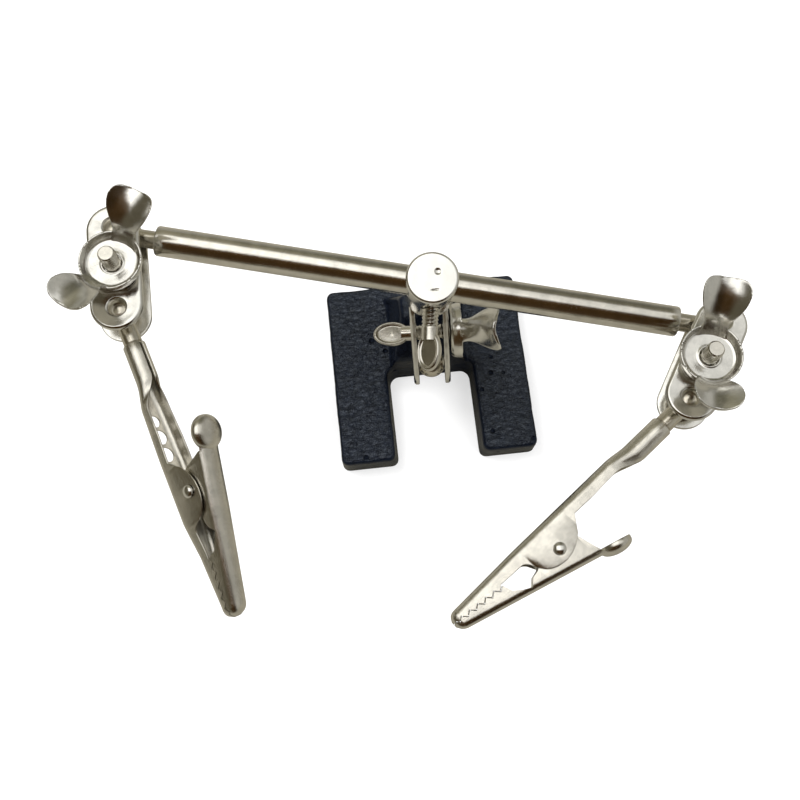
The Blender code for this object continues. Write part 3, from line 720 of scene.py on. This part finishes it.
def stations(lips, start, end, step):
    """Places along the clip: every lip corner and enough between them."""
    places = {round(u, 4) for u, _ in lips if start <= u <= end}
    places |= {round(u - TOOTH_SKEW, 4) for u in teeth()[1:]}
    count = int((end - start) / step)
    places |= {round(start + (end - start) * i / count, 4) for i in range(count + 1)}
    ordered = sorted(places)
    kept = [ordered[0]]
    for u in ordered[1:]:
        if u - kept[-1] > 0.06:
            kept.append(u)
    return kept


def back_line(u):
    """Height of the moving jaw's sloping back."""
    return BACK_V0 + BACK_SLOPE * (u - BACK_U0)


def teeth():
    """Places of every tooth's tip and root."""
    count = int(round((TEETH_END - TEETH_START) / TOOTH_PITCH * 2))
    return [TEETH_START + i * TOOTH_PITCH / 2 for i in range(count + 1)]


def closed_nose(path, lip, share):
    """Shrink a section toward its lip line so that the pressing ends in a closed nose."""
    return [(lip + (v - lip) * share, z * share) for v, z in path]


def nose_share(u):
    """How much of its full size the section keeps near the rounded tip."""
    over = (u - (CLIP_TIP - NOSE_LENGTH)) / (NOSE_LENGTH + 0.05)
    return math.sqrt(max(0.06, 1 - over * over)) if over > 0 else 1.0


def build_fixed_jaw(name, matrix, body, node):
    """The jaw whose tail is rolled into a barrel over the stem and pinched behind it."""
    lips = [
        (27.5, 0.3), (35.0, 0.6), (41.8, 0.45), (43.1, 2.3), (44.6, 4.4), (46.0, 5.5), (47.3, 6.3),
        (49.3, 7.05), (51.3, 7.3), (53.0, 7.15), (54.3, 6.8), (55.6, 6.2), (56.7, 5.3), (57.9, 3.6),
        (58.9, 1.7), (59.6, 1.0), (60.2, 0.7), (63.3, 0.6), (65.9, 0.5),
    ]
    lips += [(u, zigzag(u) - TOOTH_GAP) for u in teeth()] + [(81.3, -0.7), (CLIP_TIP, -0.74)]
    widths = [(27.5, 3.6), (40.0, 4.05), (57, 4.1), (66, 2.95), (81, 2.55), (CLIP_TIP, 2.5)]
    spine = 8
    count = 2 * spine + 5
    rings = []
    for u in (BARREL_START, BARREL_START + 0.25, 12.0, 15.0, 18.0):
        edge = 0.12 if u == BARREL_START else 0.0
        rings.append(section_ring(barrel_path(BARREL_BORE + SHEET / 2 - edge, count), u))
    for i in range(15):
        u = 18.6 + 8.4 * i / 14
        share = i / 14
        share = share * share * (3 - 2 * share)
        pinch = 0.1 * math.exp(-((u - 21.0) / 1.6) ** 2)
        rolled = [
            (v * (1 - pinch * (1.0 if v > 0 else 0.25)), z)
            for v, z in barrel_path(BARREL_BORE + SHEET / 2, count)
        ]
        flat = channel_path(3.6, 0.3, SPINE_V, spine)
        rings.append(section_ring([
            (mix(a[0], b[0], share), mix(a[1], b[1], share)) for a, b in zip(rolled, flat)
        ], u))
    for u in stations(lips, 27.5, CLIP_TIP, 0.7):
        lip = lookup(lips, u)
        path = channel_path(lookup(widths, u), lip, SPINE_V + 0.02 * max(0, u - 60), spine)
        if u > TEETH_START:
            path[-1] = (zigzag(u + TOOTH_SKEW) - TOOTH_GAP, path[-1][1])
        rings.append(section_ring(closed_nose(path, -0.5, nose_share(u)), u))
    mat = nickel(name + "_plate", WARM, 0.2, (0.12, 3, 3), grain=3.0, wave=0.35)
    jaw = place(prism(rings), name, matrix, mat, angle=38)
    for u, radius in ((29.2, 1.6), (33.6, 1.95), (38.4, 1.95)):
        combine(jaw, rod(radius, -3, 3, 32, "Y", (u, SPINE_V, 0)), "DIFFERENCE", 38)
    combine(jaw, rod(RIVET_HOLE_R, -6, 6, 32, centre=(RIVET_U, RIVET_V, 0)), "DIFFERENCE", 38)
    settle(jaw, body, node)


def build_moving_jaw(name, matrix, body, node):
    """The jaw with a crowned back that runs into a domed thumb tab."""
    lips = [
        (43.3, 11.0), (44.0, 8.8), (44.9, 5.6), (45.5, 4.0), (46.1, 2.9), (47.0, 1.9), (48.1, 1.2),
        (50.5, 0.7), (53.3, 1.2), (54.7, 1.8), (55.9, 2.6), (57.2, 3.5), (58.3, 4.1), (60.2, 4.5),
        (62.1, 6.2), (64.2, 5.0), (66.2, 3.4),
    ]
    lips += [(u, zigzag(u) + TOOTH_GAP) for u in teeth()] + [(81.4, -0.42), (CLIP_TIP, -0.46)]
    widths = [(43, 3.2), (57, 3.2), (81, 2.55), (CLIP_TIP, 2.5)]
    rings = []
    for u in stations(lips, 43.3, CLIP_TIP, 0.7):
        lip = lookup(lips, u)
        path = crowned_path(lookup(widths, u), lip, back_line(u))
        if u > TEETH_START:
            path[-1] = (zigzag(u + TOOTH_SKEW) + TOOTH_GAP, path[-1][1])
        rings.append(section_ring(closed_nose(path, -0.35, nose_share(u)), u))
    mat = nickel(name + "_plate", WARM, 0.18, (0.12, 3, 3), grain=2.4, wave=0.4)
    jaw = place(prism(rings), name, matrix, mat, angle=38)
    lean = math.atan(-BACK_SLOPE)
    over = [(TAB_R * math.sin(a), TAB_DOME * math.cos(a) ** 0.9) for a in
            [math.radians(88 * i / 14) for i in range(15)]]
    dome = [(0, TAB_DOME)] + over[1:] + [(TAB_R, -0.5), (TAB_R - 0.15, -0.8), (TAB_R - 0.5, -0.6)]
    dome += [(0.88 * r, z - 0.62) for r, z in reversed(over[:-2])]
    cap = spin_profile(dome, 56, "Y")
    bmesh.ops.rotate(cap, verts=cap.verts, matrix=Matrix.Rotation(-lean, 3, "Z"))
    bmesh.ops.translate(cap, verts=cap.verts, vec=(TAB_U, TAB_V, 0))
    neck = []
    for u, width, crown in ((40.4, 3.7, 1.0), (41.4, 3.3, 1.1), (42.2, 3.05, 1.2), (43.0, 3.0, 1.3),
                            (43.7, 3.0, 1.4), (45.0, 3.05, 1.5)):
        top = back_line(u) - 0.02
        across = [k / 10 - 1 for k in range(21)]
        upper = [(u, top - crown * (1 - math.sqrt(1 - (0.97 * t) ** 2)), t * width) for t in across]
        lower = [(u, v - 0.52, z * 0.92) for _, v, z in reversed(upper)]
        neck.append(upper + lower)
    combine(jaw, prism(neck), "UNION", 38, folded=True)
    combine(jaw, cap, "UNION", 38, folded=True)
    combine(jaw, rod(RIVET_HOLE_R, -6, 6, 32, centre=(RIVET_U, RIVET_V, 0)), "DIFFERENCE", 38)
    settle(jaw, body, node)


def build_rivet(name, matrix, body, node):
    """A pin with two domed heads and a small flat on each."""
    half = 4.1 + GAP
    dome = [(1.65 * math.sin(a), half + 0.95 * math.cos(a)) for a in
            [math.radians(12 + 76 * i / 10) for i in range(11)]]
    outline = [(0, dome[0][1])] + dome + [(1.65, half), (1.0, half), (1.0, -half), (1.65, -half)]
    outline += [(r, -z) for r, z in reversed(dome)] + [(0, -dome[0][1])]
    bm = spin_profile(outline, 40)
    bmesh.ops.translate(bm, verts=bm.verts, vec=(RIVET_U, RIVET_V, 0))
    place(bm, name, matrix, nickel(name + "_plate", PALE, 0.18, wave=0.3), body, node, 40)


def build_spring(name, matrix, body, node):
    """A torsion spring round the rivet with one short leg toward each jaw."""
    wire, coil, turns, per_turn, sides = 0.3, 1.8, 3, 40, 14
    points = [Vector((-6.2, -4.9, -1.9)), Vector((-3.2, -3.3, -1.9))]
    start = math.radians(-110)
    total = turns * per_turn + per_turn * 2 // 5
    for i in range(total + 1):
        a = start + 2 * math.pi * i / per_turn
        z = -1.9 + 3.8 * i / total
        points.append(Vector((coil * math.cos(a), coil * math.sin(a), z)))
    end = start + 2 * math.pi * total / per_turn
    points.append(points[-1] + Vector((-math.sin(end), math.cos(end), 0)) * 2.6)
    rings = []
    for i, p in enumerate(points):
        along = (points[min(i + 1, len(points) - 1)] - points[max(i - 1, 0)]).normalized()
        side = along.cross(Vector((0, 0, 1))).normalized()
        top = side.cross(along)
        ring = []
        for k in range(sides):
            a = 2 * math.pi * k / sides
            q = p + side * (wire * math.cos(a)) + top * (wire * math.sin(a))
            ring.append(q + Vector((RIVET_U, RIVET_V, 0)))
        rings.append(ring)
    place(prism(rings), name, matrix, nickel(name + "_wire", DULL, 0.32, wave=0.2), body, node, 45)


# ---------------------------------------------------------------- head

def build_collar(matrix, body, node):
    """The head block: chamfered round bar, cross bored, with a drill point and a scratch on top."""
    profile = [(0, -COLLAR_BOTTOM), (COLLAR_R - 0.8, -COLLAR_BOTTOM), (COLLAR_R, -COLLAR_BOTTOM + 0.8)]
    profile += [(COLLAR_R, COLLAR_TOP - 0.75), (COLLAR_R - 0.1, COLLAR_TOP - 0.5)]
    profile += [(COLLAR_R - 0.45, COLLAR_TOP - 0.08), (COLLAR_R - 0.65, COLLAR_TOP)]
    profile += [(COLLAR_R * k / 60, COLLAR_TOP) for k in range(53, -1, -1)]
    bm = spin_profile(profile, 128)
    for vert in bm.verts:
        if vert.co.z > COLLAR_TOP - 0.02:
            dent = Vector((vert.co.x - 1.15, vert.co.y - 1.8)).length / 0.95
            if dent < 1:
                vert.co.z -= 0.26 * (1 - dent * dent)
            nick = Vector(((vert.co.x - 1.2) / 1.3, (vert.co.y + 3.4 - 0.25 * vert.co.x) / 0.28)).length
            if nick < 1:
                vert.co.z -= 0.16 * (1 - nick * nick)
    mat = nickel("collar_plate", (0.9, 0.89, 0.86), 0.17, grain=0.9, wave=0.5, dark=0.94)
    collar = place(bm, "collar_block", matrix, mat, angle=35)
    screw_hole = rod(BOLT_R + GAP, -12, -1.0, 48, "Y")
    bmesh.ops.rotate(
        screw_hole, verts=screw_hole.verts, matrix=Matrix.Rotation(math.radians(SCREW_TURN), 3, "Z")
    )
    combine(collar, rod(BAR_R + GAP, -12, 12, 96, "X"), "DIFFERENCE", 35)
    combine(collar, rod(STUD_R + GAP, -COLLAR_BOTTOM - 2, -BAR_R - 0.9, 48), "DIFFERENCE", 35)
    combine(collar, screw_hole, "DIFFERENCE", 35)
    settle(collar, body, node)


def build_crossbar(matrix, body, node):
    """A drawn tube with rolled-over edges at its sawn ends."""
    low, high = BAR_SHIFT - BAR_LEN / 2, BAR_SHIFT + BAR_LEN / 2
    count = 60
    wall = [(BAR_BORE_R, low + 0.15), (BAR_BORE_R + 0.2, low)]
    wall += [(BAR_R - 0.6, low), (BAR_R - 0.2, low + 0.15)]
    wall += [(BAR_R, mix(low + 0.5, high - 0.5, i / count)) for i in range(count + 1)]
    wall += [(BAR_R - 0.2, high - 0.15), (BAR_R - 0.6, high), (BAR_BORE_R + 0.2, high)]
    wall += [(BAR_BORE_R, high - 0.15)]
    mat = nickel("crossbar_plate", WARM, 0.13, (0.05, 3, 3), grain=1.4, wave=0.35)
    place(spin_profile(wall, 128, "X"), "crossbar_tube", matrix, mat, body, node, 35)


# ---------------------------------------------------------------- assembly

def build_arm(prefix, side, bar, clamp_head, clip_head, spin, nut_turn, rise=1.0):
    """The stud, clamp and clip at one end of the crossbar. side is -1 or 1."""
    centre = BAR_SHIFT + side * (BAR_LEN / 2 + BAR_BALL_OUT)
    stud = bar @ Matrix.Translation((centre * MM, 0, 0))
    node = prefix + "_bar_stud"
    axis = "X" if side < 0 else "-X"
    build_stud(node + "_turned", stud, prefix + "_bar_end", node, BAR_BALL_OUT + 8.0, axis)

    ball = stud.translation / MM + UNDERSIDE_CENTRE
    heading = math.radians(clamp_head)
    down = Vector((math.cos(heading), math.sin(heading), 0))
    x_dir = down.cross(Vector((0, 0, 1))) * -1
    clamp = place_frame(ball + down * BALL_PITCH / 2, x_dir, (0, 0, 1))
    build_clamp(prefix + "_clamp", clamp, prefix + "_clamp", prefix + "_nut", nut_turn, rise)

    heading, droop = math.radians(clip_head), math.radians(CLIP_DROOP)
    along = Vector((math.cos(heading), math.sin(heading), 0)) * math.cos(droop)
    along.z = -math.sin(droop)
    level = along.cross(Vector((0, 0, 1))).normalized()
    flat = along.cross(level).normalized() * -1
    normal = Matrix.Rotation(math.radians(spin), 3, along) @ flat
    clip = place_frame(ball + down * BALL_PITCH, along, normal)
    stem = prefix + "_clip_stem"
    build_stud(stem + "_turned", clip, prefix + "_stem", stem, 19.0, "X", BARREL_START - GAP)
    for part, maker, body in (
        ("fixed_jaw", build_fixed_jaw, "clip"), ("moving_jaw", build_moving_jaw, "jaw"),
        ("rivet", build_rivet, "clip"), ("spring", build_spring, "clip"),
    ):
        node = f"{prefix}_{part}"
        maker(node + "_detail", clip, f"{prefix}_{body}", node)


def build_stand():
    bar_dir = BAR_DIR.normalized()
    upright = (Vector((0, 0, 1)) - bar_dir * bar_dir.z).normalized()
    collar_up = Matrix.Rotation(math.radians(COLLAR_LEAN), 3, bar_dir) @ upright
    top_ball = BAR_CENTRE - collar_up * COLLAR_BALL
    base_ball = top_ball - COLUMN_DIR.normalized() * BALL_PITCH

    build_base(base_ball)
    stud = place_frame(base_ball, (1, 0, 0), BASE_STUD_DIR)
    build_stud("base_ball_stud_turned", stud, "base_stud", "base_ball_stud", BASE_STUD_LEN, "Z")

    head = place_frame(BAR_CENTRE, bar_dir, collar_up)
    build_collar(head, "collar_body", "collar")
    stem = place_frame(top_ball, bar_dir, collar_up)
    length = COLLAR_BALL - BAR_R - 1.3
    build_stud("collar_ball_stem_turned", stem, "collar_stem", "collar_ball_stem", length, "Z")
    screw_turn = Matrix.Rotation(math.radians(SCREW_TURN), 3, collar_up)
    screw_dir = screw_turn @ collar_up.cross(bar_dir).normalized()
    screw = place_frame(BAR_CENTRE, collar_up, screw_dir)
    build_spade_screw(
        "collar_thumb_screw_thread", screw, "thumb_screw", "collar_thumb_screw",
        -SCREW_REACH, -BAR_R - GAP, -2.2,
    )
    build_crossbar(head, "bar", "crossbar")

    column = COLUMN_DIR.normalized().cross(COLUMN_NORMAL)
    clamp = place_frame((top_ball + base_ball) / 2, column, COLUMN_NORMAL)
    build_clamp("column_clamp", clamp, "column", "column_nut", -0.6)
    build_arm("left", -1, head, -88.5, -72.8, 42.0, 0.96, 0.8)
    build_arm("right", 1, head, -121.8, -143.2, 0.0, 1.85)


# ---------------------------------------------------------------- studio

SKY_STOPS = [
    # share of the half turn from the rear horizon over the top to the front horizon
    (0.00, (0.40, 0.39, 0.34)), (0.12, (0.24, 0.225, 0.16)), (0.27, (0.34, 0.32, 0.24)),
    (0.315, (0.55, 0.53, 0.46)), (0.345, (1.5, 1.48, 1.40)), (0.565, (1.5, 1.48, 1.42)),
    (0.60, (0.11, 0.07, 0.038)), (0.72, (0.05, 0.026, 0.008)), (0.92, (0.05, 0.03, 0.014)),
    (1.00, (0.13, 0.10, 0.065)),
]


def build_world():
    """Pale all-round light; in reflections, a bright overhead panel between darker walls.

    The left wall is darker than the right one.
    """
    world = bpy.data.worlds.new("studio")
    world.use_nodes = True
    bpy.context.scene.world = world
    world.cycles.sampling_method = "NONE"
    tree = world.node_tree
    out = tree.nodes["World Output"]
    plain = tree.nodes["Background"]
    plain.inputs["Color"].default_value = (1.0, 1.0, 1.0, 1.0)
    plain.inputs["Strength"].default_value = 0.72
    where = tree.nodes.new("ShaderNodeTexCoord")
    split = tree.nodes.new("ShaderNodeSeparateXYZ")
    tree.links.new(where.outputs["Generated"], split.inputs["Vector"])
    angle = tree.nodes.new("ShaderNodeMath")
    angle.operation = "ARCTAN2"
    tree.links.new(split.outputs["Z"], angle.inputs[0])
    tree.links.new(split.outputs["Y"], angle.inputs[1])
    share = tree.nodes.new("ShaderNodeMath")
    share.operation = "DIVIDE"
    share.inputs[1].default_value = math.pi
    tree.links.new(angle.outputs[0], share.inputs[0])
    band = ramp(tree, share.outputs[0], SKY_STOPS)
    sideways = tree.nodes.new("ShaderNodeMath")
    sideways.operation = "ABSOLUTE"
    tree.links.new(split.outputs["X"], sideways.inputs[0])
    fade = ramp(tree, sideways.outputs[0], [(0.5, (0, 0, 0)), (0.72, (1, 1, 1))])
    rightward = ramp(tree, split.outputs["X"], [(0.02, (1, 1, 1)), (0.2, (0.56, 0.56, 0.56))])
    dimmed = tree.nodes.new("ShaderNodeMixRGB")
    dimmed.blend_type = "MULTIPLY"
    dimmed.inputs["Fac"].default_value = 1.0
    tree.links.new(band, dimmed.inputs["Color1"])
    tree.links.new(rightward, dimmed.inputs["Color2"])
    wall = tree.nodes.new("ShaderNodeMixRGB")
    walls = ramp(tree, split.outputs["X"], [(0.05, (0.105, 0.092, 0.062)), (0.4, (0.42, 0.41, 0.37))])
    tree.links.new(walls, wall.inputs["Color2"])
    tree.links.new(fade, wall.inputs["Fac"])
    tree.links.new(dimmed.outputs["Color"], wall.inputs["Color1"])
    room = tree.nodes.new("ShaderNodeBackground")
    tree.links.new(wall.outputs["Color"], room.inputs["Color"])
    path = tree.nodes.new("ShaderNodeLightPath")
    choose = tree.nodes.new("ShaderNodeMixShader")
    tree.links.new(path.outputs["Is Glossy Ray"], choose.inputs["Fac"])
    tree.links.new(plain.outputs["Background"], choose.inputs[1])
    tree.links.new(room.outputs["Background"], choose.inputs[2])
    tree.links.new(choose.outputs["Shader"], out.inputs["Surface"])


def build_floor():
    """A pale, softly glowing sheet that looks darker in the metal than to the camera."""
    bm = bmesh.new()
    bmesh.ops.create_grid(bm, x_segments=2, y_segments=2, size=2500)
    mat, tree, shader = node_tree("floor_paper")
    shader.inputs["Roughness"].default_value = 0.9
    shader.inputs["Specular IOR Level"].default_value = 0.1
    path = tree.nodes.new("ShaderNodeLightPath")
    tint = ramp(tree, path.outputs["Is Camera Ray"], [(0.0, (0.25, 0.235, 0.19)), (1.0, (0.5, 0.5, 0.5))])
    tree.links.new(tint, shader.inputs["Base Color"])
    shader.inputs["Emission Color"].default_value = (1.0, 1.0, 1.0, 1.0)
    glow = spread(tree, path.outputs["Is Camera Ray"], 0.0, 0.55)
    tree.links.new(glow, shader.inputs["Emission Strength"])
    identity = Matrix.Translation((0, 0, -0.0002))
    place(bm, "floor", identity, mat)


def build_light(name, where, size, power):
    """A soft panel aimed at the stand that doesn't show in the metal."""
    data = bpy.data.lights.new(name, "AREA")
    data.shape = "RECTANGLE"
    data.size, data.size_y = size
    data.energy = power
    lamp = bpy.data.objects.new(name, data)
    bpy.context.scene.collection.objects.link(lamp)
    lamp.location = where
    lamp.rotation_euler = (Vector((0, 0, 0.03)) - Vector(where)).to_track_quat("-Z", "Y").to_euler()
    lamp.visible_glossy = False


def build_camera():
    """A steep view from the front, turned a little to the left."""
    azimuth, elevation = math.radians(CAMERA_AZIMUTH), math.radians(CAMERA_ELEVATION)
    back = Vector((
        math.sin(azimuth) * math.cos(elevation), -math.cos(azimuth) * math.cos(elevation),
        math.sin(elevation),
    ))
    right = Vector((math.cos(azimuth), math.sin(azimuth), 0))
    data = bpy.data.cameras.new("camera")
    data.sensor_width = 36.0
    data.lens = CAMERA_LENS
    data.clip_start = 0.01
    camera = bpy.data.objects.new("camera", data)
    bpy.context.scene.collection.objects.link(camera)
    matrix = Matrix((right, back.cross(right), back)).transposed().to_4x4()
    matrix.translation = CAMERA_PLACE
    camera.matrix_world = matrix
    bpy.context.scene.camera = camera


build_stand()
build_world()
build_floor()
build_light("key", (-0.35, 0.25, 0.75), (0.5, 0.4), 7.0)
build_light("fill", (0.5, -0.3, 0.6), (0.5, 0.5), 3.0)
build_camera()
bpy.context.scene.view_settings.view_transform = "Standard"
